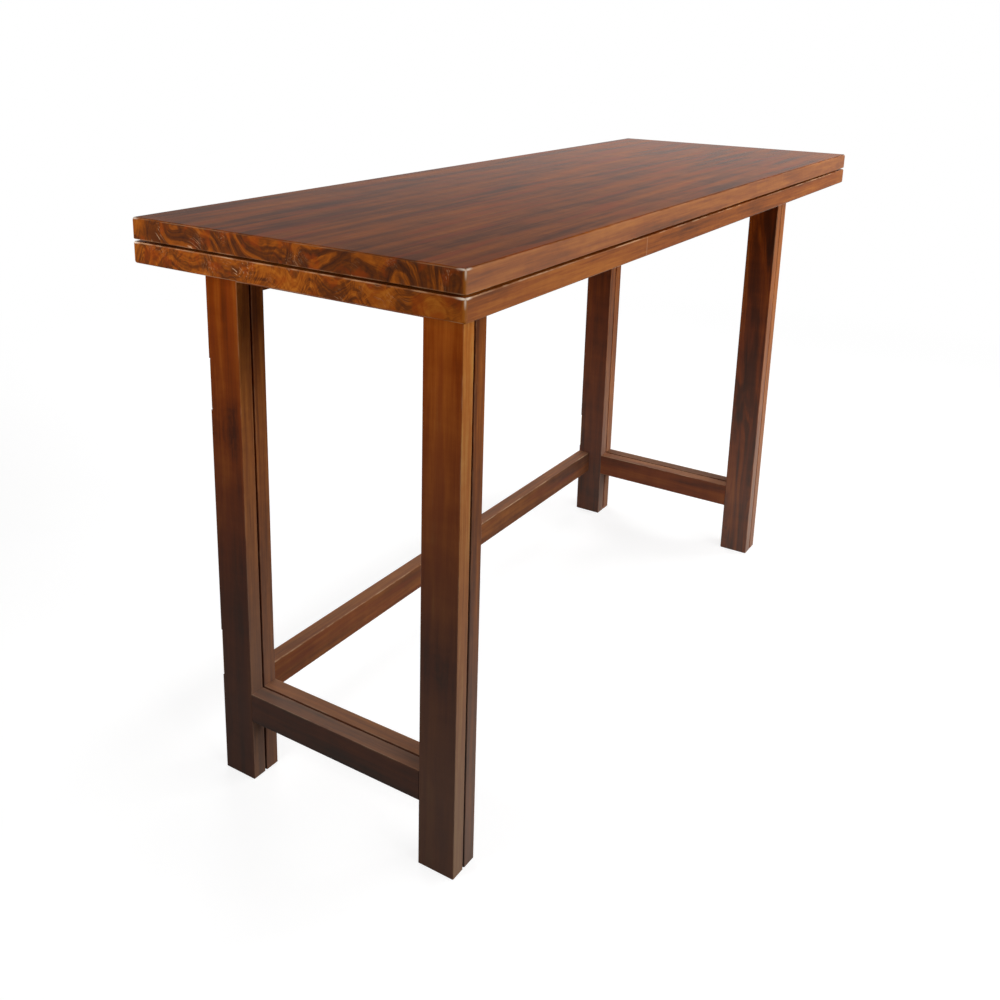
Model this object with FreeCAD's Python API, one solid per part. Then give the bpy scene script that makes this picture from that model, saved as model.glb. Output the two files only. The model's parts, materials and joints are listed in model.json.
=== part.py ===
import FreeCAD, Part
import os

# Folding console table. The top is two leaves, one folded on the other and hinged along the back
# edge. Each end of the base has a fixed frame with a gate nested against its outer side. Both gates
# swing round to the back on butt hinges and carry the opened leaf.
# Millimetres. +X runs along the table, -Y is its front, +Z is up. The origin is on the floor, in
# the middle of the table's outline, hinge barrels included.

# ---- Driving dimensions -------------------------------------------------------------------------

# Top
top_length = 1250.0
top_depth = 430.0
table_height = 750.0
leaf_thickness = 24.0
leaf_gap = 2.5
leaf_corner_radius = 4.0
leaf_edge_radius = 3.0
leaf_seam_radius = 1.5

# Base
end_overhang = 102.0
front_overhang = 68.0
leg_width = 50.0
leg_thickness = 21.0
frame_gap = 2.5
gate_top_gap = 1.0
stretcher_height = 40.0
stretcher_lift = 87.0
top_rail_height = 32.0
back_rail_height = 60.0
long_rail_thickness = 23.0
leg_edge_radius = 1.5
rail_edge_radius = 1.2
foot_chamfer = 1.0

# Butt hinges
hinge_length = 65.0
hinge_plate_thickness = 1.5
hinge_pin_radius = 1.5
hinge_pin_play = 0.05
hinge_knuckles = 5
hinge_knuckle_gap = 0.2
hinge_corner_radius = 3.0
hinge_housing_depth = 2.5
hinge_housing_play = 0.3
hinge_screw_end_distance = 10.0
hinge_screw_stagger = 3.0
gate_plate_setback = 1.0
gate_hinge_above_stretcher = 11.5
gate_hinge_below_leaf = 165.0
leaf_plate_reach = 20.0
leaf_hinge_end_distance = 150.0

# Screws: shank radius, head radius, length overall
hinge_screw = (1.6, 3.1, 16.0)
top_screw = (2.1, 4.2, 40.0)
screw_tip_length = 4.0
screw_seat_gap = 0.05
top_screw_bite = 14.0
end_rail_screw_end_distance = 55.0
back_rail_screw_end_distance = 240.0

# Mortise and tenon joints
tenon_thickness = 8.0
tenon_shoulder = 5.0
end_rail_tenon_length = 25.0
long_rail_tenon_length = 15.0
tenon_glue_gap = 0.05
tenon_end_gap = 1.0

# Pads between the folded leaves
bumper_radius = 5.0
bumper_edge_distance = 40.0
bumper_count = 4

# ---- Places that follow -------------------------------------------------------------------------

barrel_radius = hinge_pin_radius + hinge_pin_play + hinge_plate_thickness
pin_proud = barrel_radius - hinge_housing_depth
barrel_proud = pin_proud + barrel_radius

back_y = (top_depth - barrel_proud) / 2
front_y = back_y - top_depth
pin_y = back_y + pin_proud
seam_z = table_height - leaf_thickness - leaf_gap / 2
leaf_underside = table_height - 2 * leaf_thickness - leaf_gap

frame_y = (front_y + front_overhang, back_y)
between_legs_y = (frame_y[0] + leg_width, frame_y[1] - leg_width)
outer_face = top_length / 2 - end_overhang
pin_x = outer_face - leg_thickness - frame_gap / 2
frame_outer = outer_face - leg_thickness - frame_gap
frame_inner = frame_outer - leg_thickness
stretcher_z = (stretcher_lift, stretcher_lift + stretcher_height)
long_rail_y = (back_y - long_rail_thickness, back_y)

gate_plate_reach = frame_gap / 2 + leg_thickness - gate_plate_setback
gate_hinge_heights = {
    "lower": stretcher_z[1] + gate_hinge_above_stretcher + hinge_length / 2,
    "upper": leaf_underside - gate_hinge_below_leaf,
}
leaf_hinge_places = {
    "left": leaf_hinge_end_distance - top_length / 2,
    "centre": 0.0,
    "right": top_length / 2 - leaf_hinge_end_distance,
}
sides = {"left": -1, "right": 1}

ALONG = FreeCAD.Vector(1, 0, 0)
BACK = FreeCAD.Vector(0, 1, 0)
UP = FreeCAD.Vector(0, 0, 1)
TINY = 1e-6


# ---- Basic forms --------------------------------------------------------------------------------

def block(x, y, z):
    """A box between two faces along each axis."""
    return Part.makeBox(x[1] - x[0], y[1] - y[0], z[1] - z[0], FreeCAD.Vector(x[0], y[0], z[0]))


def mid(span):
    return (span[0] + span[1]) / 2


def edges_along(shape, axis):
    """The straight edges of a block that run along an axis."""
    found = []
    for edge in shape.Edges:
        run = edge.Vertexes[-1].Point - edge.Vertexes[0].Point
        if run.normalize().cross(axis).Length < TINY:
            found.append(edge)
    return found


def edges_at_height(shape, z):
    return [e for e in shape.Edges if abs(e.BoundBox.ZMin - z) < TINY and abs(e.BoundBox.ZMax - z) < TINY]


def rod(radius, start, direction, length):
    return Part.makeCylinder(radius, length, start, direction)


def group(shapes):
    return Part.makeCompound(shapes)


# ---- Boards, legs and rails ---------------------------------------------------------------------

def leaf(z, outer_z):
    """One leaf of the top. Its outer arris is rounder than the one at the seam."""
    seam = z[0] if outer_z == z[1] else z[1]
    board = block((-top_length / 2, top_length / 2), (front_y, back_y), z)
    board = board.makeFillet(leaf_corner_radius, edges_along(board, UP))
    board = board.makeFillet(leaf_edge_radius, edges_at_height(board, outer_z))
    return board.makeFillet(leaf_seam_radius, edges_at_height(board, seam))


def leg(x, y, top):
    """An upright with eased arrises and a chamfered foot."""
    upright = block(x, y, (0, top))
    upright = upright.makeFillet(leg_edge_radius, edges_along(upright, UP))
    return upright.makeChamfer(foot_chamfer, edges_at_height(upright, 0))


def rail(x, y, z, axis):
    """A rail with its four long arrises eased."""
    bar = block(x, y, z)
    return bar.makeFillet(rail_edge_radius, edges_along(bar, axis))


# ---- Mortise and tenon joints -------------------------------------------------------------------

def tenon(joint, axis_sign, along, length, play=0.0):
    """The block that stands out of a rail's end, or with play the mortise that it goes into.

    joint is the middle of the shoulder and along the rail's axis, X or Y.
    """
    x, y, z = joint
    end_play = tenon_end_gap if play else 0.0
    run = sorted((-axis_sign * tenon_thickness / 2, axis_sign * (length + end_play)))
    across = (-tenon_thickness / 2 - play, tenon_thickness / 2 + play)
    z_span = (z[0] + tenon_shoulder - play, z[1] - tenon_shoulder + play)
    if along == ALONG:
        return block((x + run[0], x + run[1]), (y + across[0], y + across[1]), z_span)
    return block((x + across[0], x + across[1]), (y + run[0], y + run[1]), z_span)


# ---- Countersunk screws -------------------------------------------------------------------------

def turned(outline):
    """A solid turned about Z from its outline of radius and height."""
    points = [FreeCAD.Vector(r, 0, z) for r, z in outline]
    face = Part.Face(Part.makePolygon(points + points[:1]))
    return face.revolve(FreeCAD.Vector(0, 0, 0), UP, 360)


def screw(size):
    """A countersunk wood screw along -Z, with the top of its head at the origin."""
    shank, head, length = size
    return turned([(0, 0), (head, 0), (shank, shank - head), (shank, screw_tip_length - length), (0, -length)])


def screw_hole(size, headroom):
    """What a screw takes out of the pieces that it holds, with a way in for its head."""
    shank, head, length = size
    wide = head + screw_seat_gap
    narrow = shank + screw_seat_gap
    return turned([(0, headroom), (wide, headroom), (wide, 0), (narrow, shank - head),
                   (narrow, -length), (0, -length)])


def placed(shape, point, rotation):
    moved = shape.copy()
    moved.Placement = FreeCAD.Placement(point, rotation).multiply(shape.Placement)
    return moved


# ---- Butt hinge ---------------------------------------------------------------------------------
# Made lying open with its pin along Z. The fixed plate goes to +X and the moving one to -X, and
# both lie against wood at y = -barrel_radius. Y points away from the wood.

def knuckle_spans():
    pitch = (hinge_length + hinge_knuckle_gap) / hinge_knuckles
    low = -hinge_length / 2
    return [(low + i * pitch, low + (i + 1) * pitch - hinge_knuckle_gap) for i in range(hinge_knuckles)]


def hinge_screw_places(reach):
    """Three places on a plate: distance from the pin and height along it."""
    middle = (barrel_radius + reach) / 2
    end = hinge_length / 2 - hinge_screw_end_distance
    near, far = middle - hinge_screw_stagger, middle + hinge_screw_stagger
    return [(near, -end), (far, 0.0), (near, end)]


def hinge_plate(reach, spans):
    """One plate with its knuckles curled round the pin."""
    skin = (-barrel_radius, hinge_plate_thickness - barrel_radius)
    root = barrel_radius + hinge_housing_play
    plate = block((root, reach), skin, (-hinge_length / 2, hinge_length / 2))
    corners = [e for e in edges_along(plate, BACK) if e.BoundBox.XMin > reach - TINY]
    plate = plate.makeFillet(hinge_corner_radius, corners)
    curls = []
    for low, high in spans:
        curls.append(rod(barrel_radius, FreeCAD.Vector(0, 0, low), UP, high - low))
        curls.append(block((0, root), skin, (low, high)))
    plate = plate.fuse(curls).removeSplitter()
    bore = rod(hinge_pin_radius + hinge_pin_play, UP * -hinge_length, UP, 2 * hinge_length)
    return plate.cut(bore)


def hinge(reach, housing_reach):
    """Plates, pin and screws, with what each half takes out of the wood behind it."""
    spans = knuckle_spans()
    seat = hinge_plate_thickness - barrel_radius
    facing = FreeCAD.Rotation(ALONG, -90)
    places = hinge_screw_places(reach)
    screws = [placed(screw(hinge_screw), FreeCAD.Vector(u, seat, v), facing) for u, v in places]
    holes = [placed(screw_hole(hinge_screw, barrel_radius), FreeCAD.Vector(u, seat, v), facing)
             for u, v in places]
    half_length = hinge_length / 2 + hinge_housing_play
    housing = block((0, housing_reach), (-barrel_radius, barrel_radius), (-half_length, half_length))

    def flipped(shape):
        """The same form on the other side of the pin."""
        return shape.mirror(FreeCAD.Vector(0, 0, 0), ALONG)

    return {
        "fixed_plate": hinge_plate(reach, spans[0::2]).cut(holes),
        "moving_plate": flipped(hinge_plate(reach, spans[1::2]).cut(holes)),
        "pin": rod(hinge_pin_radius, UP * (-hinge_length / 2), UP, hinge_length),
        "fixed_screws": group(screws),
        "moving_screws": flipped(group(screws)),
        "fixed_cut": [housing] + holes,
        "moving_cut": [flipped(tool) for tool in [housing] + holes],
    }


# ---- Putting the pieces together ----------------------------------------------------------------

nodes = {}
screw_groups = {}


def join(rail_node, leg_node, joint, into_leg, along, length):
    """Gives a rail a tenon and its leg the mortise."""
    tongue = tenon(joint, into_leg, along, length)
    mortise = tenon(joint, into_leg, along, length, tenon_glue_gap)
    nodes[rail_node] = nodes[rail_node].fuse(tongue)
    nodes[leg_node] = nodes[leg_node].cut(mortise)


def end_frame(name, side, outer, top):
    """Two legs with a stretcher and a top rail tenoned between them, flush on both faces."""
    x = tuple(sorted((side * outer, side * (outer - leg_thickness))))
    legs = {
        name + "_front_leg": ((frame_y[0], between_legs_y[0]), between_legs_y[0], -1),
        name + "_back_leg": ((between_legs_y[1], frame_y[1]), between_legs_y[1], 1),
    }
    rails = {name + "_stretcher": stretcher_z, name + "_top_rail": (top - top_rail_height, top)}
    for leg_node, (leg_y, shoulder_y, into_leg) in legs.items():
        nodes[leg_node] = leg(x, leg_y, top)
    for rail_node, z in rails.items():
        nodes[rail_node] = rail(x, between_legs_y, z, BACK)
        for leg_node, (leg_y, shoulder_y, into_leg) in legs.items():
            join(rail_node, leg_node, (mid(x), shoulder_y, z), into_leg, BACK, end_rail_tenon_length)


def long_rails():
    """The stretcher and the back rail that tie the two fixed frames together."""
    heights = {"long_stretcher": stretcher_z, "back_rail": (leaf_underside - back_rail_height, leaf_underside)}
    for name, z in heights.items():
        nodes[name] = rail((-frame_inner, frame_inner), long_rail_y, z, ALONG)
        for side_name, side in sides.items():
            joint = (side * frame_inner, mid(long_rail_y), z)
            join(name, side_name + "_frame_back_leg", joint, side, ALONG, long_rail_tenon_length)


def top_fixings():
    """Screws that go up through the fixed top rails into the lower leaf."""
    seats = []
    for side_name, side in sides.items():
        x = side * (frame_outer + frame_inner) / 2
        low_y = between_legs_y[0] + end_rail_screw_end_distance
        high_y = between_legs_y[1] - end_rail_screw_end_distance
        seats += [(side_name + "_frame_top_rail", top_rail_height, x, y) for y in (low_y, high_y)]
        x = side * (frame_inner - back_rail_screw_end_distance)
        seats.append(("back_rail", back_rail_height, x, mid(long_rail_y)))
    head_z = leaf_underside + top_screw_bite - top_screw[2]
    point_up = FreeCAD.Rotation(ALONG, 180)
    screws = []
    for rail_node, rail_height, x, y in seats:
        seat = FreeCAD.Vector(x, y, head_z)
        screws.append(placed(screw(top_screw), seat, point_up))
        hole = placed(screw_hole(top_screw, rail_height), seat, point_up)
        nodes[rail_node] = nodes[rail_node].cut(hole)
        nodes["lower_leaf"] = nodes["lower_leaf"].cut(hole)
    screw_groups["top_fixing_screws"] = screws


def hang(name, form, point, rotation, halves):
    """Puts a hinge in its place and lets it into the wood on both sides of its pin.

    halves maps fixed and moving to the plate's name, the wood behind it and its group of screws.
    """
    for half, (plate, wood, screws) in halves.items():
        nodes[name + "_" + plate] = placed(form[half + "_plate"], point, rotation)
        screw_groups.setdefault(screws, []).append(placed(form[half + "_screws"], point, rotation))
        nodes[wood] = nodes[wood].cut([placed(tool, point, rotation) for tool in form[half + "_cut"]])
    nodes[name + "_pin"] = placed(form["pin"], point, rotation)


def gate_hinges():
    """Two hinges a side. The gate's plate is on the outer side of the pin."""
    form = hinge(gate_plate_reach, leg_thickness + frame_gap)
    for side_name, side in sides.items():
        rotation = FreeCAD.Rotation(BACK, 0 if side < 0 else 180)
        halves = {
            "fixed": ("frame_plate", side_name + "_frame_back_leg", "gate_hinge_frame_screws"),
            "moving": ("gate_plate", side_name + "_gate_back_leg", side_name + "_gate_hinge_screws"),
        }
        for place, z in gate_hinge_heights.items():
            name = side_name + "_" + place + "_gate_hinge"
            hang(name, form, FreeCAD.Vector(side * pin_x, pin_y, z), rotation, halves)


def leaf_hinges():
    """Hinges let into the back edges of both leaves, with their pins level with the seam."""
    form = hinge(leaf_plate_reach, leaf_plate_reach + hinge_housing_play)
    rotation = FreeCAD.Rotation(BACK, 90)
    halves = {
        "fixed": ("lower_plate", "lower_leaf", "leaf_hinge_lower_screws"),
        "moving": ("upper_plate", "upper_leaf", "leaf_hinge_upper_screws"),
    }
    for place, x in leaf_hinge_places.items():
        hang("leaf_hinge_" + place, form, FreeCAD.Vector(x, pin_y, seam_z), rotation, halves)


def bumpers():
    """Thin round pads on the lower leaf, in a row behind the front edge."""
    reach = top_length / 2 - bumper_edge_distance
    pitch = 2 * reach / (bumper_count - 1)
    base = FreeCAD.Vector(-reach, front_y + bumper_edge_distance, leaf_underside + leaf_thickness)
    return group([rod(bumper_radius, base + ALONG * (i * pitch), UP, leaf_gap) for i in range(bumper_count)])


def build():
    lower_z = (leaf_underside, leaf_underside + leaf_thickness)
    upper_z = (table_height - leaf_thickness, table_height)
    nodes["lower_leaf"] = leaf(lower_z, lower_z[0])
    nodes["upper_leaf"] = leaf(upper_z, upper_z[1])
    nodes["leaf_bumpers"] = bumpers()
    for side_name, side in sides.items():
        end_frame(side_name + "_frame", side, frame_outer, leaf_underside)
        end_frame(side_name + "_gate", side, outer_face, leaf_underside - gate_top_gap)
    long_rails()
    top_fixings()
    gate_hinges()
    leaf_hinges()
    for name, screws in screw_groups.items():
        nodes[name] = group(screws)


def export():
    os.makedirs("parts", exist_ok=True)
    for name, shape in nodes.items():
        shape.exportStep("parts/" + name + ".step")


build()
export()
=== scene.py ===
import json
import math
import random
from dataclasses import dataclass

import bmesh
import bpy
from mathutils import Matrix, Vector


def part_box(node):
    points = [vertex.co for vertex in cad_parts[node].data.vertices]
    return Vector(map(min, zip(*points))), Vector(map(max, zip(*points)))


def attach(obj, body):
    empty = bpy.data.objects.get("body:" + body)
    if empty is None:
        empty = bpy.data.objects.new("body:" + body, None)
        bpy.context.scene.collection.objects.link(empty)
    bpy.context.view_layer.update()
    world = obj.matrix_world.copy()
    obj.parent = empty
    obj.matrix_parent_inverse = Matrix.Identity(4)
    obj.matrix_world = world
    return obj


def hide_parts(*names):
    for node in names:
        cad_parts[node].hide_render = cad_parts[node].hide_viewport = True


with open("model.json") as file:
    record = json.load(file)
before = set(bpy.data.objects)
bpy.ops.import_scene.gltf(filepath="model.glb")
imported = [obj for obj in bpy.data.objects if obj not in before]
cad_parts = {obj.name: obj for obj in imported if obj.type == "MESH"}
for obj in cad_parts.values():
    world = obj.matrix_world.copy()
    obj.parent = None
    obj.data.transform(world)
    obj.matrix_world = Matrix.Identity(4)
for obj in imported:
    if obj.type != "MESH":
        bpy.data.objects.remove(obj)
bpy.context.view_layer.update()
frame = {"nodes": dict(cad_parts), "record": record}

# Places and sizes are in metres in the CAD model's frame: +X along the table, -Y towards its front and
# +Z up from the floor


# ---- Shader helpers -----------------------------------------------------------------------------

WHITE = (1.0, 1.0, 1.0, 1.0)

# The Mix node's sockets for numbers and for colours share their names, so they are found by place
NUMBERS_IN, NUMBER_OUT = (0, 2, 3), 0
COLOURS_IN, COLOUR_OUT = (0, 6, 7), 2

# Most values of a noise lie between these
NOISE_LOW, NOISE_HIGH = 0.3, 0.7


def paint(code):
    """A linear colour from six hexadecimal digits of sRGB."""
    parts = [int(code[i:i + 2], 16) / 255 for i in (0, 2, 4)]
    return tuple(((c + 0.055) / 1.055) ** 2.4 if c > 0.04045 else c / 12.92 for c in parts) + (1.0,)


class Shader:
    """The nodes of one material or world, with short calls to add them. A value is a socket or a plain
    number. The functions below call the shader that they add to s."""

    def __init__(self, owner):
        self.owner = owner
        owner.use_nodes = True
        self.tree = owner.node_tree
        self.tree.nodes.clear()

    def put(self, value, socket):
        if isinstance(value, bpy.types.NodeSocket):
            self.tree.links.new(value, socket)
        else:
            socket.default_value = value

    def put_all(self, values, sockets):
        for value, socket in zip(values, sockets):
            self.put(value, socket)

    def node(self, kind, inputs=None, **settings):
        made = self.tree.nodes.new("ShaderNode" + kind)
        for key, value in settings.items():
            setattr(made, key, value)
        for key, value in (inputs or {}).items():
            self.put(value, made.inputs[key])
        return made

    def math(self, operation, *values):
        made = self.node("Math", operation=operation)
        self.put_all(values, made.inputs)
        return made.outputs[0]

    def product(self, first, *others):
        for value in others:
            first = self.math("MULTIPLY", first, value)
        return first

    def total(self, base, *terms):
        """base plus each value's distance from its middle, 0.5 unless given, times its weight."""
        for value, weight, *middle in terms:
            swing = self.math("SUBTRACT", value, middle[0] if middle else 0.5)
            base = self.math("ADD", base, self.product(swing, weight))
        return base

    def vector(self, operation, *values):
        made = self.node("VectorMath", operation=operation)
        self.put_all(values, made.inputs)
        return made.outputs["Value" if operation == "LENGTH" else "Vector"]

    def parts(self, vector):
        return self.node("SeparateXYZ", {"Vector": vector}).outputs

    def together(self, x, y, z):
        return self.node("CombineXYZ", {"X": x, "Y": y, "Z": z}).outputs[0]

    def span(self, value, low, high, to_low=0.0, to_high=1.0, smooth=True):
        """value carried from one range to another and held at its ends."""
        made = self.node("MapRange", interpolation_type="SMOOTHSTEP" if smooth else "LINEAR")
        self.put_all((value, low, high, to_low, to_high), made.inputs)
        return made.outputs[0]

    def noise(self, vector, waves, detail, rough):
        """Smooth noise from 0 to 1. waves is how many there are in a metre, or how many along each axis."""
        if isinstance(waves, tuple):
            vector, waves = self.vector("MULTIPLY", vector, waves), 1.0
        made = self.node("TexNoise", {"Vector": vector, "Scale": waves, "Detail": detail, "Roughness": rough})
        return made.outputs["Fac"]

    def spread(self, noise, low, high):
        """A noise carried to a range of its own."""
        return self.span(noise, NOISE_LOW, NOISE_HIGH, low, high)

    def mix(self, share, first, second, blend="MIX"):
        made = self.node("Mix", data_type="RGBA", blend_type=blend, clamp_factor=True)
        self.put_all((share, first, second), [made.inputs[place] for place in COLOURS_IN])
        return made.outputs[COLOUR_OUT]

    def mix_number(self, share, first, second):
        made = self.node("Mix", data_type="FLOAT", clamp_factor=True)
        self.put_all((share, first, second), [made.inputs[place] for place in NUMBERS_IN])
        return made.outputs[NUMBER_OUT]

    def ramp(self, value, stops):
        """Colours between stops of (position, colour)."""
        made = self.node("ValToRGB", {"Fac": value})
        elements = made.color_ramp.elements
        while len(elements) < len(stops):
            elements.new(1.0)
        for element, (position, colour) in zip(elements, stops):
            element.position = position
            element.color = colour
        return made.outputs["Color"]

    def own_number(self, name):
        """A number that each object carries as a property."""
        return self.node("Attribute", attribute_type="OBJECT", attribute_name=name).outputs["Fac"]

    def own_place(self, name):
        """A place or size that each object carries as a property."""
        return self.node("Attribute", attribute_type="OBJECT", attribute_name=name).outputs["Vector"]

    def pair(self, kind, first, second, inputs=None):
        """Two surfaces, added or mixed. They go into the last two sockets of the node that does it."""
        made = self.node(kind, inputs)
        self.put_all((first.outputs[0], second.outputs[0]), list(made.inputs)[-2:])
        return made

    def output(self, kind, surface):
        self.node(kind, {"Surface": surface.outputs[0]})

    def finish(self, colour, roughness, height, relief, **uniform):
        """The material's surface. relief is how far a height of 1 stands out, and uniform holds what is
        the same all over."""
        bump = self.node("Bump", {"Height": height, "Distance": relief, "Strength": 1.0})
        surface = self.node("BsdfPrincipled", {"Base Color": colour, "Roughness": roughness,
                                               "Normal": bump.outputs[0]})
        for key, value in uniform.items():
            self.put(value, surface.inputs[key.replace("_", " ")])
        self.output("OutputMaterial", surface)
        return self.owner


# ---- Wood ---------------------------------------------------------------------------------------

# Which axes run along the grain, across the board's wide face and through its thickness
LEAF_AXES = (0, 1, 2)
LEG_AXES = (2, 1, 0)
END_RAIL_AXES = (1, 2, 0)
LONG_RAIL_AXES = (0, 2, 1)

RUST = paint("8a3a12")
# A painted highlight along the panel's upright arrises
UPRIGHT_HIGHLIGHT = paint("b26a24")
# Pale filler and glue, and the pale arris that is partly wear and partly a painted highlight
PALE = paint("dcb088")
# A painted highlight at the panel's upper corners
CORNER_HIGHLIGHT = paint("f3e3cf")
# Painted shade: the tint that colours are multiplied towards low down
PAINTED_SHADE_TINT = paint("85817f")
# Dust and a painted sheen: the pale grey mixed in towards the floor and on narrow sides
DUST_AND_SHEEN = paint("cac5bb")

# Where the five colours of a stain stand, from its darkest streak to its lightest
TONE_PLACES = (0.0, 0.27, 0.52, 0.82, 1.0)


def stain(*codes):
    return [(place, paint(code)) for place, code in zip(TONE_PLACES, codes)]


LEAF_TONES = stain("3b2118", "5f3116", "8e4a17", "b26a24", "c6823c")
FRAME_TONES = stain("35190d", "5c260b", "8c3d0b", "b05c1c", "bb7430")
GOLDEN_TONES = stain("2f190e", "592c10", "884817", "b56a27", "c68a44")

# The middle tone of every wide face, from 0, the darkest, to 1
FACE_TONE = 0.50


@dataclass
class Timber:
    """One kind of wood, with its stain and lacquer."""
    axes: tuple
    tones: list              # of the wide faces and cut ends
    edge_tones: list         # of the narrow sides
    edge: float              # middle tone of the narrow sides
    end: float               # middle tone of the cut ends
    wear: float              # how pale an arris gets, partly from wear and partly a painted highlight
    broad: float = 0.85      # weight of the broad streaks
    curl: float = 0.34       # weight of the curls across the grain
    gloss: float = 0.012     # specular level
    rough: float = 0.32
    # dust with a painted sheen on the narrow sides
    edge_dust: float = 0.035
    staves: bool = False     # glued up from staves


TIMBERS = {
    "top": Timber(LEAF_AXES, LEAF_TONES, LEAF_TONES, edge=0.70, end=0.44, wear=0.35, broad=0.75,
                  curl=0.2, gloss=0.0018, rough=0.15, edge_dust=0.34, staves=True),
    "leg": Timber(LEG_AXES, FRAME_TONES, GOLDEN_TONES, edge=0.62, end=0.45, wear=0.2),
    "end_rail": Timber(END_RAIL_AXES, FRAME_TONES, GOLDEN_TONES, edge=0.62, end=0.45, wear=0.55,
                       broad=1.1),
    "long_rail": Timber(LONG_RAIL_AXES, GOLDEN_TONES, GOLDEN_TONES, edge=0.60, end=0.45, wear=0.9,
                        broad=1.1),
}

# Patterns in the stain: waves per metre along the grain, across it and through the board, or in every
# direction; then how many times finer waves are added, and how strong those are
BROAD_STREAKS = (3.4, 36.0, 36.0), 2.0, 0.5
STREAKS = (7.0, 110.0, 110.0), 2.0, 0.6
THREADS = (9.0, 270.0, 270.0), 2.0, 0.6
FIBRES = (24.0, 620.0, 620.0), 2.0, 0.6
RIPPLES = (9.0, 70.0, 70.0), 3.0, 0.5
CURLS = (30.0, 7.0, 7.0), 3.0, 0.6
RUST_STREAKS = (6.0, 62.0, 62.0), 2.0, 0.5
PORES = (60.0, 620.0, 620.0), 1.0, 0.5
CLOUDS = 75.0, 5.0, 0.65
FILLED_PATCHES = 30.0, 2.0, 0.5
# Patches where the arrises show wear and a painted highlight
WORN_HIGHLIGHTED_PATCHES = 22.0, 3.0, 0.6

# The same for what follows the growth rings: waves per metre away from the pith, per radian round it, and
# per metre along it
RING_BANDS = (85.0, 0.9, 1.4), 2.0, 0.55
RING_LINES = (330.0, 1.0, 2.0), 2.0, 0.6
RAYS = (60.0, 20.0, 4.0), 2.0, 0.6
FEATHERS = (40.0, 34.0, 4.0), 3.0, 0.6
FLECKS = (260.0, 120.0, 60.0), 1.0, 0.5
BAND_CONTRAST = (0.34, 0.66)

# How square to a direction a side has to be to start counting as facing it, and to count in full
FACING = (0.6, 0.9)

# Staves of a glued panel. ROW_SHIFT is the most stave lengths that the joints of a row are shifted by,
# and the seeds are what each row and each stave adds to the number that its chances are drawn from.
STAVE_WIDTH = 0.086
STAVE_LENGTH = 1.4
ROW_SHIFT = 7.0
ROW_SEED = 13.7
STAVE_SEED = 5.3

# The most that the figure of a row of staves, or of a single board, is shifted along the grain
ROW_OFFSET = 0.4
BOARD_OFFSET = 9.0

# The pith of a single board's tree: how deep it lies on one side of the board's middle, how far from that
# middle it is at most across the board, and how far it wanders across and through the board
PITH_DEPTH = (0.012, 0.045)
PITH_ASIDE = 0.035
PITH_ACROSS = (2.6, 24.0, 24.0), 2.0, 0.5
PITH_ACROSS_REACH = 0.009
PITH_THROUGH = (2.2, 9.0, 9.0), 1.0, 0.5
PITH_THROUGH_REACH = 0.022

# A panel's figure repeats across it, past two growth centres in each repeat: how wide a repeat is, how far
# across a point gets from a centre, how deep the centres lie and how many radians of a repeat they swing by
FIGURE_REPEAT = 0.24
CENTRE_REACH = 0.05
CENTRE_DEPTH = (0.004, 0.044)
CENTRE_SWING = 2.0
CENTRE_BENDS = (2.2, 7.0, 7.0), 1.0, 0.5
SWAY_WAVES = (2.0, 11.0, 11.0)
SWAY_START = (3.1, 7.7, 1.3)
RUFFLES = 48.0, 2.0, 0.5
RUFFLE_ACROSS, RUFFLE_THROUGH = 0.016, -0.012
LEAST_RADIUS = 0.01

# A knot: what its distances are multiplied by, so that it is longer upwards, how ragged it is, and how many
# radians of ring it has in a metre. The last two lines give how far out its dark core and its rings start
# and where they are in full, with how much darker the stain is there.
KNOT_SHAPE = (1.0, 1.0, 0.55)
KNOT_RAGGED = 0.014
KNOT_RINGS = 900.0
KNOT_CORE, KNOT_DARKER = (0.032, 0.004), 0.26
KNOT_RINGED, KNOT_RING_DARKER = (0.022, 0.008), 0.03

# Shares on the wide faces and on the narrow sides
RUST_SHARES = (0.55, 0.12)
GLUE_SHARES = (0.02, 0.30)
# Painted shade towards the floor: in full on the wide faces, less on the narrow sides
PAINTED_SHADE_SHARES = (1.0, 0.6)

# Where in its noise each thing starts to show, and where it is in full
RUSTY = (0.50, 0.70)
FLECKED = (0.60, 0.72)
PORED = (0.66, 0.74)
FILLED = (0.52, 0.64)
WORN_HIGHLIGHTED = (0.42, 0.62)
CORNER_HIGHLIGHTED = (0.40, 0.58)

# How much filler flecks and pores take, how much of the pale arris (wear with a painted highlight) and of the
# painted corner highlight shows at least and at most, and how much of the painted upright highlight shows
FLECK_FILLER, PORE_FILLER = 0.5, 0.05
WORN_HIGHLIGHTED_AMOUNTS = (0.15, 1.0)
CORNER_HIGHLIGHT_AMOUNTS = (0.35, 0.95)
UPRIGHT_HIGHLIGHT_AMOUNT = 0.6

# From how far off a glue line, a pale arris (wear with a painted highlight), the painted highlight along an
# upright arris and the painted highlight on a corner's arrises start to show, and where they are in full.
# Painted corner highlights are above the panel's middle.
GLUE_LINE = (0.0010, 0.0003)
WORN_HIGHLIGHTED_ARRIS = (0.0018, 0.0003)
UPRIGHT_HIGHLIGHT_REACH = (0.0045, 0.0015)
CORNER_HIGHLIGHT_REACH = (0.013, 0.003)
CORNER_HIGHLIGHT_ARRIS = (0.0026, 0.0006)
ABOVE_MIDDLE = (-0.002, 0.003)

# Painted shade, and dust with a painted sheen, gather from the first height down to the second, and a power
# below 1 makes them start sooner. A narrow side has its kind's dust and sheen times the first share high up
# and times the second at the floor.
SHADE_AND_DUST_HEIGHTS = (0.70, 0.10)
SHADE_AND_DUST_POWER = 0.75
DUST_AND_SHEEN_AMOUNT = 1.3
EDGE_DUST_AND_SHEEN_SHARES = (0.3, 2.2)

WOOD_RELIEF = 0.00005


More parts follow.
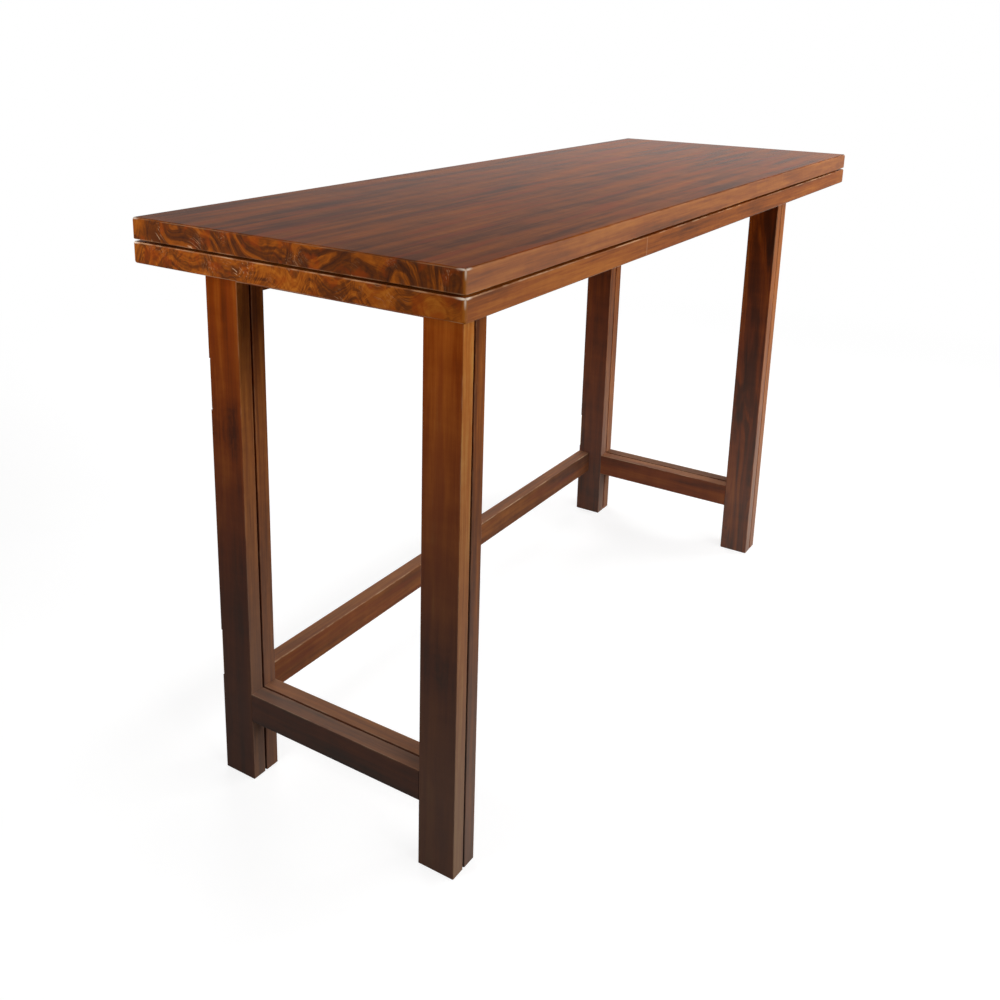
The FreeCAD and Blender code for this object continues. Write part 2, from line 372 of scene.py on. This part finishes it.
def chance_of(s, dimensions, value):
    """Three numbers from 0 to 1 that stay the same wherever the value does."""
    socket = "W" if dimensions == "1D" else "Vector"
    dice = s.node("TexWhiteNoise", {socket: value}, noise_dimensions=dimensions)
    return s.parts(dice.outputs["Color"])


def glued_staves(s, along, across):
    """Chance numbers of the stave that a point lies in, those of its row, and how far the point is from
    the joint at the stave's nearer end."""
    row = s.math("FLOOR", s.math("DIVIDE", across, STAVE_WIDTH))
    row_chance = chance_of(s, "1D", row)
    start = s.math("ADD", along, s.own_number("joint_shift"))
    count = s.math("ADD", s.math("DIVIDE", start, STAVE_LENGTH), s.product(row_chance[0], ROW_SHIFT))
    seed = s.math("ADD", s.product(row, ROW_SEED), s.product(s.math("FLOOR", count), STAVE_SEED))
    from_middle = s.math("ABSOLUTE", s.math("SUBTRACT", s.math("FRACT", count), 0.5))
    to_joint = s.math("SUBTRACT", STAVE_LENGTH / 2, s.product(from_middle, STAVE_LENGTH))
    return chance_of(s, "1D", seed), row_chance, to_joint


def board_growth(s, place, across, through, chance):
    """How far a point of a single board is from the pith of its tree, and the angle round the pith."""
    side = s.math("SIGN", s.math("SUBTRACT", chance[1], 0.5))
    depth = s.product(side, s.span(chance[2], 0.0, 1.0, *PITH_DEPTH, smooth=False))
    aside = s.span(chance[0], 0.0, 1.0, -PITH_ASIDE, PITH_ASIDE, smooth=False)
    drift = s.spread(s.noise(place, *PITH_ACROSS), -PITH_ACROSS_REACH, PITH_ACROSS_REACH)
    wander = s.spread(s.noise(place, *PITH_THROUGH), -PITH_THROUGH_REACH, PITH_THROUGH_REACH)
    reach_across = s.math("ADD", s.math("SUBTRACT", across, aside), drift)
    reach_through = s.math("ADD", s.math("SUBTRACT", through, depth), wander)
    radius = s.vector("LENGTH", s.together(0.0, reach_across, reach_through))
    return radius, s.math("ARCTAN2", reach_across, reach_through)


def panel_growth(s, place, across, through):
    """The same for a panel, where the figure of one stave runs on into the next. The share of the distance
    that lies across the panel takes the angle's place."""
    bend = s.spread(s.noise(place, *CENTRE_BENDS), -CENTRE_SWING, CENTRE_SWING)
    moved = s.vector("ADD", s.vector("MULTIPLY", place, SWAY_WAVES), SWAY_START)
    depth = s.spread(s.noise(moved, 1.0, 1.0, 0.5), *CENTRE_DEPTH)
    ruffle = s.noise(place, *RUFFLES)
    turn = s.math("ADD", s.product(across, math.tau / FIGURE_REPEAT), bend)
    reach_across = s.total(s.product(s.math("SINE", turn), CENTRE_REACH), (ruffle, RUFFLE_ACROSS))
    reach_through = s.math("ADD", s.total(through, (ruffle, RUFFLE_THROUGH)), depth)
    radius = s.vector("LENGTH", s.together(0.0, reach_across, reach_through))
    return radius, s.math("DIVIDE", reach_across, s.math("ADD", radius, LEAST_RADIUS))


class Grain:
    """Where a point lies in the grain of its board, which sides of the board it is on, and the patterns
    there that more than one function uses."""

    def __init__(self, s, timber):
        along_axis, across_axis, through_axis = timber.axes
        self.point = s.node("TexCoord").outputs["Object"]
        self.local = s.parts(s.vector("SUBTRACT", self.point, s.own_place("board_middle")))
        facing = s.parts(s.node("TexCoord").outputs["Normal"])
        self.is_edge = s.span(s.math("ABSOLUTE", facing[across_axis]), *FACING)
        self.is_end = s.span(s.math("ABSOLUTE", facing[along_axis]), *FACING)

        shifted = s.parts(s.vector("ADD", self.point, s.own_place("grain_shift")))
        along, across, through = (shifted[axis] for axis in timber.axes)
        middle_across, middle_through = self.local[across_axis], self.local[through_axis]
        if timber.staves:
            self.chance, row_chance, self.to_joint = glued_staves(s, along, across)
            own_along = s.math("ADD", along, s.product(row_chance[1], ROW_OFFSET))
            panel_place = s.together(along, across, through)
            radius, angle = panel_growth(s, panel_place, across, middle_through)
            self.place = s.together(own_along, across, through)
        else:
            self.chance = chance_of(s, "3D", s.own_place("grain_shift"))
            own_along = s.math("ADD", along, s.product(self.chance[0], BOARD_OFFSET))
            self.place = s.together(own_along, across, through)
            radius, angle = board_growth(s, self.place, middle_across, middle_through, self.chance)
        self.rings = s.together(radius, angle, own_along)
        self.broad = s.noise(self.place, *BROAD_STREAKS)
        self.fibre = s.noise(self.place, *FIBRES)
        self.cloud = s.noise(self.place, *CLOUDS)


def knot(s, grain):
    """How much darker a board is in and round its knot."""
    away = s.vector("MULTIPLY", s.vector("SUBTRACT", grain.point, s.own_place("knot_place")), KNOT_SHAPE)
    reach = s.total(s.vector("LENGTH", away), (grain.cloud, KNOT_RAGGED))
    rings = s.product(s.math("SINE", s.product(reach, KNOT_RINGS)),
                      s.span(reach, *KNOT_RINGED, 0.0, KNOT_RING_DARKER))
    return s.math("ADD", s.span(reach, *KNOT_CORE, 0.0, KNOT_DARKER), rings)


def tone_of(s, grain, timber):
    """How light the stain is, from 0 to 1. Each pattern stands beside its weight."""
    streak = s.noise(grain.place, *STREAKS)
    thread = s.noise(grain.place, *THREADS)
    curl = s.noise(grain.place, *CURLS)
    lines = s.noise(grain.rings, *RING_LINES)
    rays = s.noise(grain.rings, *RAYS)
    feather = s.noise(grain.rings, *FEATHERS)
    band = s.span(s.total(s.noise(grain.rings, *RING_BANDS), (feather, 0.40)), *BAND_CONTRAST)

    face = s.total(FACE_TONE, (grain.broad, timber.broad), (streak, 0.25 * timber.broad), (thread, 0.26),
                   (grain.fibre, 0.16), (grain.chance[2], 0.05), (grain.cloud, 0.10), (curl, timber.curl),
                   (band, s.own_number("board_figure")))
    edge = s.total(timber.edge, (grain.broad, 0.62), (streak, 0.44), (thread, 0.50), (grain.fibre, 0.26),
                   (band, 0.05), (grain.cloud, 0.18))
    edge = s.math("ADD", edge, s.own_number("board_edge"))
    end = s.total(timber.end, (band, 0.38), (lines, 0.42), (rays, 0.34), (grain.cloud, 0.42),
                  (grain.chance[2], 0.04))
    tone = s.mix_number(grain.is_end, s.mix_number(grain.is_edge, face, edge), end)
    if not timber.staves:
        tone = s.math("SUBTRACT", tone, knot(s, grain))
    return s.math("ADD", tone, s.own_number("board_tone"))


def stained(s, grain, timber):
    """The stain, with rusty streaks that are bolder on the faces than on the narrow sides."""
    tone = tone_of(s, grain, timber)
    colour = s.mix(grain.is_edge, s.ramp(tone, timber.tones), s.ramp(tone, timber.edge_tones))
    rust = s.span(s.noise(grain.place, *RUST_STREAKS), *RUSTY)
    return s.mix(s.product(rust, s.span(grain.is_edge, 0.0, 1.0, *RUST_SHARES)), colour, RUST)


def filled(s, grain, timber, colour):
    """Pale filler in patches, faint in the pores and bolder in the flecks of a cut end, and pale glue in
    the joints between staves. It also gives the share of the filler in the flecks."""
    in_flecks = s.span(s.noise(grain.rings, *FLECKS), *FLECKED, 0.0, FLECK_FILLER)
    in_flecks = s.product(in_flecks, grain.is_end)
    in_pores = s.span(s.noise(grain.place, *PORES), *PORED, 0.0, PORE_FILLER)
    patch = s.span(s.noise(grain.place, *FILLED_PATCHES), *FILLED)
    colour = s.mix(s.product(s.math("MAXIMUM", in_flecks, in_pores), patch), colour, PALE)
    if timber.staves:
        glue = s.product(s.span(grain.to_joint, *GLUE_LINE), s.span(grain.is_edge, 0.0, 1.0, *GLUE_SHARES))
        colour = s.mix(glue, colour, PALE)
    return colour, in_flecks


def board_distances(s, point):
    """How far a point is from its board's nearest upright arris, from its nearest arris of any kind and
    from its nearest corner. Each is the largest distance from the sides that meet there."""
    offset = s.vector("SUBTRACT", point, s.own_place("board_middle"))
    away = s.parts(s.vector("SUBTRACT", s.own_place("board_half"), s.vector("ABSOLUTE", offset)))
    nearer, upright = s.math("MINIMUM", away[0], away[1]), s.math("MAXIMUM", away[0], away[1])
    arris = s.math("MAXIMUM", nearer, s.math("MINIMUM", upright, away[2]))
    return upright, arris, s.math("MAXIMUM", upright, away[2])


def worn_and_highlighted(s, grain, timber, colour):
    """Arrises pale in patches, partly from wear and partly a painted highlight. On a panel, a painted
    highlight runs along the upright arrises and a paler painted highlight sits at the corners above its
    middle. It also gives how worn and highlighted an arris is."""
    upright, arris, corner = board_distances(s, grain.point)
    worn_highlighted_patch = s.noise(grain.point, *WORN_HIGHLIGHTED_PATCHES)
    # Pale arrises in patches: partly wear, partly a painted highlight
    worn_highlighted = s.product(s.span(arris, *WORN_HIGHLIGHTED_ARRIS), s.span(worn_highlighted_patch, *WORN_HIGHLIGHTED, *WORN_HIGHLIGHTED_AMOUNTS),
                     s.own_number("board_wear"))
    colour = s.mix(s.product(worn_highlighted, timber.wear), colour, PALE)
    if timber.staves:
        # Painted highlight along the upright arrises
        colour = s.mix(s.span(upright, *UPRIGHT_HIGHLIGHT_REACH, 0.0, UPRIGHT_HIGHLIGHT_AMOUNT), colour, UPRIGHT_HIGHLIGHT)
        # Painted highlight at the corners above the middle
        corner_highlight_share = s.product(s.span(corner, *CORNER_HIGHLIGHT_REACH), s.span(arris, *CORNER_HIGHLIGHT_ARRIS),
                         s.span(grain.local[2], *ABOVE_MIDDLE), s.span(worn_highlighted_patch, *CORNER_HIGHLIGHTED, *CORNER_HIGHLIGHT_AMOUNTS))
        colour = s.mix(corner_highlight_share, colour, CORNER_HIGHLIGHT)
    return colour, worn_highlighted


def painted_shade_dust_and_sheen(s, grain, timber, colour):
    """Painted shade, and dust with a painted sheen, gathered towards the floor, with some dust and painted
    sheen on every narrow side.
    """
    low = s.math("POWER", s.span(s.parts(grain.point)[2], *SHADE_AND_DUST_HEIGHTS, smooth=False), SHADE_AND_DUST_POWER)
    # Painted shade: the colour is darkened and greyed towards the floor, less on the narrow sides
    painted_shade = s.product(low, s.own_number("board_shade"), s.span(grain.is_edge, 0.0, 1.0, *PAINTED_SHADE_SHARES))
    colour = s.mix(1.0, colour, s.mix(painted_shade, WHITE, PAINTED_SHADE_TINT), "MULTIPLY")
    low_squared = s.product(low, low)
    # Dust with a painted sheen, towards the floor and on every narrow side
    dust_and_sheen = s.product(low_squared, DUST_AND_SHEEN_AMOUNT, s.own_number("board_dust"))
    edge_amounts = [timber.edge_dust * share for share in EDGE_DUST_AND_SHEEN_SHARES]
    edge_dust = s.product(grain.is_edge, s.own_number("board_edge_dust"),
                          s.span(low_squared, 0.0, 1.0, *edge_amounts))
    return s.mix(s.math("ADD", dust_and_sheen, edge_dust), colour, DUST_AND_SHEEN)


def wood(name, timber):
    """Stained and lacquered wood."""
    s = Shader(bpy.data.materials.new(name))
    grain = Grain(s, timber)
    colour, filler = filled(s, grain, timber, stained(s, grain, timber))
    colour, worn_highlighted = worn_and_highlighted(s, grain, timber, colour)
    colour = painted_shade_dust_and_sheen(s, grain, timber, colour)
    ripple = s.noise(grain.place, *RIPPLES)
    roughness = s.total(timber.rough, (grain.broad, 0.12), (filler, 0.20, 0.0), (worn_highlighted, -0.10, 0.0))
    height = s.total(0.5, (grain.fibre, 0.5), (filler, -0.6, 0.0), (ripple, 0.3))
    return s.finish(colour, roughness, height, WOOD_RELIEF, Specular_IOR_Level=timber.gloss)


# ---- Metal and rubber ---------------------------------------------------------------------------

# Patterns as for the wood, with waves along X, Y and Z or in every direction. Then where in the patches
# the tarnish starts and is in full, its least and most share, and what patches and brush marks add to the
# roughness
TARNISH_PATCHES = 90.0, 3.0, 0.5
BRUSH_MARKS = (2600.0, 2600.0, 260.0), 2.0, 0.5
TARNISHED, TARNISH_SHARES = (0.32, 0.72), (0.05, 0.80)
DULLED, DULLER, BRUSHED_ROUGHER = (0.3, 0.8), 0.2, 0.08
METAL_RELIEF = 0.00001

RUBBER_GRAIN = 2200.0, 3.0, 0.7
RUBBER_CLOUDS = 400.0, 3.0, 0.6
DUSTY = (0.35, 0.75)
GRAIN_RANGE, RUBBER_ROUGHNESS = (0.2, 0.8), (0.72, 0.86)
RUBBER_GLOSS = 0.3
RUBBER_RELIEF = 0.00002


def metal(name, base, tarnish, rough):
    """Aged brass with fine upright brush marks, dulled in patches."""
    s = Shader(bpy.data.materials.new(name))
    point = s.node("TexCoord").outputs["Object"]
    patch = s.noise(point, *TARNISH_PATCHES)
    brush = s.noise(point, *BRUSH_MARKS)
    colour = s.mix(s.span(patch, *TARNISHED, *TARNISH_SHARES), base, tarnish)
    dulled = s.span(patch, *DULLED, rough, rough + DULLER)
    roughness = s.math("ADD", dulled, s.product(brush, BRUSHED_ROUGHER))
    return s.finish(colour, roughness, brush, METAL_RELIEF, Metallic=1.0)


def rubber(name, base, dusty):
    """Matt rubber with a fine grain, dusty in patches."""
    s = Shader(bpy.data.materials.new(name))
    point = s.node("TexCoord").outputs["Object"]
    grain = s.noise(point, *RUBBER_GRAIN)
    colour = s.mix(s.span(s.noise(point, *RUBBER_CLOUDS), *DUSTY), base, dusty)
    roughness = s.span(grain, *GRAIN_RANGE, *RUBBER_ROUGHNESS)
    return s.finish(colour, roughness, grain, RUBBER_RELIEF, Specular_IOR_Level=RUBBER_GLOSS)


# ---- What each CAD node is dressed in -----------------------------------------------------------

# What sets single boards apart: how much lighter they are (board_tone), and their narrow sides alone
# (board_edge); how bold their growth bands are (board_figure); how much painted shade and dust with a painted
# sheen they have towards the floor (board_shade, board_dust) and dust with a painted sheen on their narrow
# sides (board_edge_dust); how pale their arrises get from wear and a painted highlight (board_wear); where
# the joints between staves lie along the grain (joint_shift); and where their knot is (knot_place), which is
# far below the floor where they have none
PLAIN_BOARD = dict(board_tone=0.0, board_edge=0.0, board_figure=0.10, board_shade=0.9, board_dust=0.04,
                   board_edge_dust=1.0, board_wear=1.0, joint_shift=0.0, knot_place=(0.0, 0.0, -9.0))
BOARDS = {
    "upper_leaf": dict(board_tone=-0.12, board_figure=0.0, joint_shift=0.212),
    "lower_leaf": dict(board_tone=-0.03, board_edge=-0.13, board_edge_dust=0.5, board_wear=1.8,
                       joint_shift=0.5),
    "left_gate_front_leg": dict(board_tone=0.17, board_edge=0.06, board_shade=1.35, board_dust=0.075,
                                knot_place=(-0.523, -0.122, 0.27)),
    "left_gate_back_leg": dict(board_tone=0.03, board_shade=1.25, board_dust=0.055,
                               knot_place=(-0.523, 0.186, 0.48)),
    "left_gate_stretcher": dict(board_tone=-0.1, board_shade=1.0, board_dust=0.055),
    "left_frame_front_leg": dict(board_tone=-0.24, board_dust=0.06),
    "left_frame_back_leg": dict(board_tone=-0.05),
    "right_gate_front_leg": dict(board_edge=0.1, board_shade=0.0, board_dust=0.07),
    "right_gate_back_leg": dict(board_shade=0.0, board_dust=0.07),
    "right_frame_front_leg": dict(board_tone=-0.05, board_figure=0.4, board_shade=0.0, board_dust=0.14),
    "right_frame_back_leg": dict(board_tone=-0.08, board_shade=0.2, board_dust=0.12),
    "right_frame_stretcher": dict(board_shade=0.0, board_dust=0.07),
    "long_stretcher": dict(board_shade=0.4),
    "back_rail": dict(board_wear=0.1),
}

# How far each node's grain is shifted from the last one's, so that no two boards look alike
GRAIN_STEP = (0.731, 0.377, 0.519)


def material_of(name, materials):
    """Which material a CAD node is made of, by its name."""
    if name.endswith("_leaf"):
        return materials["top"]
    if name.endswith("_leg"):
        return materials["leg"]
    if name in ("long_stretcher", "back_rail"):
        return materials["long_rail"]
    if name.endswith(("_stretcher", "_top_rail")):
        return materials["end_rail"]
    if name.endswith("screws"):
        return materials["screw"]
    return materials["rubber"] if name == "leaf_bumpers" else materials["brass"]


def dress():
    """Gives each CAD node its material, and the sizes, offsets and differences that the wood reads."""
    materials = {kind: wood(kind + "_wood", timber) for kind, timber in TIMBERS.items()}
    materials["brass"] = metal("hinge_brass", paint("94703f"), paint("6a4e30"), 0.34)
    materials["screw"] = metal("screw_brass", paint("9a7342"), paint("63482c"), 0.3)
    materials["rubber"] = rubber("bumper_rubber", paint("332823"), paint("4a3c35"))
    for number, name in enumerate(sorted(frame["nodes"])):
        node = frame["nodes"][name]
        node.data.materials.clear()
        node.data.materials.append(material_of(name, materials))
        low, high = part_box(name)
        node["board_middle"] = list((low + high) / 2)
        node["board_half"] = list((high - low) / 2)
        node["grain_shift"] = [step * number for step in GRAIN_STEP]
        for key, value in (PLAIN_BOARD | BOARDS.get(name, {})).items():
            node[key] = value
        if name.endswith("screws"):
            detailed_screws(name, materials["screw"])


# ---- Screws -------------------------------------------------------------------------------------

TURN_STEPS = 40
FACE_RINGS = 9
SAME_PLACE = 1e-5

# The cross recess, in shares of the head's radius: half its slots' width at the middle and how far out they
# would close, how far they reach, how deep they are, and how wide their walls and ends slope
SLOT_WIDTH = 0.17
SLOT_CLOSES = 1.15
SLOT_REACH = 0.62
SLOT_DEPTH = 0.32
WALL_SLOPE = 0.05
END_SLOPE = 0.18


def placed(name, data):
    """A new object in the scene."""
    made = bpy.data.objects.new(name, data)
    bpy.context.scene.collection.objects.link(made)
    return made


def body_of(node_name):
    """The body that a CAD node rides on."""
    bodies = frame["record"]["behaviour"]["bodies"]
    return next(body for body, names in bodies.items() if node_name in names)


def loose_parts(mesh):
    """The points of each separate solid in a mesh."""
    work = bmesh.new()
    work.from_mesh(mesh)
    bmesh.ops.remove_doubles(work, verts=work.verts, dist=SAME_PLACE)
    seen = set()
    solids = []
    for first in work.verts:
        if first in seen:
            continue
        seen.add(first)
        found, to_visit = [], [first]
        while to_visit:
            vert = to_visit.pop()
            found.append(vert.co.copy())
            for edge in vert.link_edges:
                other = edge.other_vert(vert)
                if other not in seen:
                    seen.add(other)
                    to_visit.append(other)
        solids.append(found)
    work.free()
    return solids


def turned_profile(points):
    """A turned solid's head centre, inward axis and outline of (depth, radius) from the head to the tip.
    The wider of its two ends is the head."""
    low = Vector([min(p[i] for p in points) for i in range(3)])
    high = Vector([max(p[i] for p in points) for i in range(3)])
    size, centre = high - low, (low + high) / 2
    axis = max(range(3), key=lambda i: size[i])
    inward = Vector([float(i == axis) for i in range(3)])
    ends = [[p for p in points if abs(p[axis] - end[axis]) < SAME_PLACE] for end in (low, high)]
    widths = [max((p - centre).cross(inward).length for p in end) for end in ends]
    head = centre.copy()
    head[axis] = (low if widths[0] > widths[1] else high)[axis]
    if widths[0] < widths[1]:
        inward = -inward
    outline = {}
    for p in points:
        depth = round((p - head).dot(inward) / SAME_PLACE)
        outline[depth] = max(outline.get(depth, 0.0), (p - head).cross(inward).length)
    return head, inward, [(depth * SAME_PLACE, outline[depth]) for depth in sorted(outline)]


def held(value):
    """value, held between 0 and 1."""
    return max(0.0, min(1.0, value))


def recess(x, y):
    """Depth of the cross recess at a place on a head, all in shares of the head's radius."""
    near, far = sorted((abs(x), abs(y)))
    wall = held((SLOT_WIDTH * (SLOT_CLOSES - far) - near) / WALL_SLOPE)
    return SLOT_DEPTH * wall * held((SLOT_REACH - far) / END_SLOPE)


def turned_screw(work, head, inward, outline, twist):
    """Adds one screw: the outline turned round its axis, with a cross recess in its flat head."""
    side = inward.orthogonal().normalized()
    other = inward.cross(side)
    head_radius = outline[0][1]
    angles = [math.tau * turn / TURN_STEPS for turn in range(TURN_STEPS)]
    spokes = [side * math.cos(angle + twist) + other * math.sin(angle + twist) for angle in angles]
    rings = []
    for step in range(1, FACE_RINGS + 1):
        share = step / FACE_RINGS
        ring = []
        for angle, spoke in zip(angles, spokes):
            depth = recess(share * math.cos(angle), share * math.sin(angle)) * head_radius
            ring.append(work.verts.new(head + spoke * head_radius * share + inward * depth))
        rings.append(ring)
    for depth, radius in outline[1:]:
        rings.append([work.verts.new(head + inward * depth + spoke * radius) for spoke in spokes])
    middle = work.verts.new(head + inward * SLOT_DEPTH * head_radius)
    tip = work.verts.new(head + inward * outline[-1][0])
    for turn in range(TURN_STEPS):
        following = (turn + 1) % TURN_STEPS
        work.faces.new((middle, rings[0][following], rings[0][turn]))
        work.faces.new((tip, rings[-1][turn], rings[-1][following]))
        for inner, outer in zip(rings, rings[1:]):
            work.faces.new((inner[turn], inner[following], outer[following], outer[turn]))


def detailed_screws(node_name, material):
    """Screws with drives in place of a node of plain turned ones, riding on the same body."""
    twists = random.Random(node_name)
    work = bmesh.new()
    for points in loose_parts(frame["nodes"][node_name].data):
        turned_screw(work, *turned_profile(points), twists.uniform(0.0, math.tau))
    bmesh.ops.recalc_face_normals(work, faces=work.faces)
    mesh = bpy.data.meshes.new(node_name + "_driven")
    work.to_mesh(mesh)
    work.free()
    mesh.materials.append(material)
    piece = placed(node_name + "_driven", mesh)
    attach(piece, body_of(node_name))
    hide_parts(node_name)


# ---- Room, lamps and camera ---------------------------------------------------------------------

# The floor reaches so far each way. It shows the table's shadow within the first distance from its middle and
# is plain white beyond the second. What it shows near the table is its own grey in the lamps' light plus a
# glow, and what it gives back to the table is the bounce.
FLOOR_REACH = 30.0
FLOOR_FADE = (1.3, 2.6)
FLOOR_SHOWN = (0.36, 0.36, 0.36, 1.0)
FLOOR_GLOW = 0.79
FLOOR_BOUNCE = (0.35, 0.34, 0.33, 1.0)

# How bright the white surroundings are for what they light
AMBIENT = 0.10

# Each lamp's place, what it looks at, its width and height, its watts, and whether gloss mirrors it
LAMPS = {
    "key": ((0.0, -1.68, 1.28), (0, 0, 0.5), (2.4, 0.5), 26, False),
    "front_right": ((1.5, -1.3, 1.25), (0.55, 0, 0.3), (0.5, 0.5), 11.8, False),
    "left": ((-1.12, 0.15, 0.80), (-0.52, 0.05, 0.6), (0.2, 0.2), 2.75, True),
    "overhead": ((0.42, 0.05, 1.7), (0.32, 0, 0.75), (0.8, 0.8), 5.6, False),
    "back": ((1.6, 2.0, 1.3), (0, 0, 0.4), (1.2, 1.2), 25, False),
}

# The photograph's viewpoint, fitted to the table's own corners and feet. Focal length and image centre are
# shares of the picture's width.
CAMERA_PLACE = Vector((-1.3983, -0.7173, 0.9479))
CAMERA_YAW = math.radians(32.61)
CAMERA_PITCH = math.radians(-15.35)
CAMERA_ROLL = math.radians(1.21)
FOCAL_LENGTH = 1.0854
CENTRE_X = 0.4707
CENTRE_Y = 0.3305
SENSOR_MM = 36.0
CLIP_RANGE = (0.05, 100.0)


def seen_directly(s):
    """1 where a camera, mirror or glass looks, and 0 for light that lands on the object."""
    path = s.node("LightPath").outputs
    glass = s.math("MAXIMUM", path["Is Glossy Ray"], path["Is Transmission Ray"])
    return s.math("MAXIMUM", path["Is Camera Ray"], glass)


def studio_floor():
    corners = [(x * FLOOR_REACH, y * FLOOR_REACH, 0) for x, y in ((-1, -1), (1, -1), (1, 1), (-1, 1))]
    mesh = bpy.data.meshes.new("studio_floor")
    mesh.from_pydata(corners, [], [(0, 1, 2, 3)])
    floor = placed("studio_floor", mesh)
    s = Shader(bpy.data.materials.new("studio_floor"))
    lit = s.node("BsdfDiffuse", {"Color": FLOOR_SHOWN})
    glow = s.node("Emission", {"Color": WHITE, "Strength": FLOOR_GLOW})
    white = s.node("Emission", {"Color": WHITE, "Strength": 1.0})
    away = s.vector("LENGTH", s.node("TexCoord").outputs["Object"])
    near = s.pair("AddShader", lit, glow)
    shown = s.pair("MixShader", near, white, {"Fac": s.span(away, *FLOOR_FADE)})
    bounce = s.node("BsdfDiffuse", {"Color": FLOOR_BOUNCE})
    s.output("OutputMaterial", s.pair("MixShader", bounce, shown, {"Fac": seen_directly(s)}))
    mesh.materials.append(s.owner)


def studio_world():
    bpy.context.scene.world = bpy.data.worlds.new("studio")
    s = Shader(bpy.context.scene.world)
    strength = s.span(seen_directly(s), 0.0, 1.0, AMBIENT, 1.0, smooth=False)
    s.output("OutputWorld", s.node("Background", {"Color": WHITE, "Strength": strength}))


def lamp(name, place, target, size, watts, mirrored):
    """A soft box that looks at a target. One that isn't mirrored adds no gloss."""
    light = bpy.data.lights.new(name, "AREA")
    light.shape = "RECTANGLE"
    light.size, light.size_y = size
    light.energy = watts
    aim = Vector(target) - Vector(place)
    lamp_object = placed(name, light)
    lamp_object.location = place
    lamp_object.rotation_euler = aim.to_track_quat("-Z", "Y").to_euler()
    lamp_object.visible_camera = False
    lamp_object.visible_glossy = mirrored


def camera():
    """The camera, from its direction and its roll about that direction."""
    ahead = Vector((math.cos(CAMERA_YAW) * math.cos(CAMERA_PITCH),
                    math.sin(CAMERA_YAW) * math.cos(CAMERA_PITCH), math.sin(CAMERA_PITCH)))
    level = Vector((math.sin(CAMERA_YAW), -math.cos(CAMERA_YAW), 0))
    upward = level.cross(ahead)
    right = level * math.cos(CAMERA_ROLL) + upward * math.sin(CAMERA_ROLL)
    up = upward * math.cos(CAMERA_ROLL) - level * math.sin(CAMERA_ROLL)
    lens = bpy.data.cameras.new("camera")
    lens.sensor_width = SENSOR_MM
    lens.lens = FOCAL_LENGTH * SENSOR_MM
    lens.shift_x = 0.5 - CENTRE_X
    lens.shift_y = CENTRE_Y - 0.5
    lens.clip_start, lens.clip_end = CLIP_RANGE
    view = placed("camera", lens)
    turned = Matrix((right, up, -ahead)).transposed().to_4x4()
    view.matrix_world = Matrix.Translation(CAMERA_PLACE) @ turned
    bpy.context.scene.camera = view


camera()
dress()
studio_floor()
studio_world()
for lamp_name, settings in LAMPS.items():
    lamp(lamp_name, *settings)
bpy.context.scene.view_settings.view_transform = "Standard"
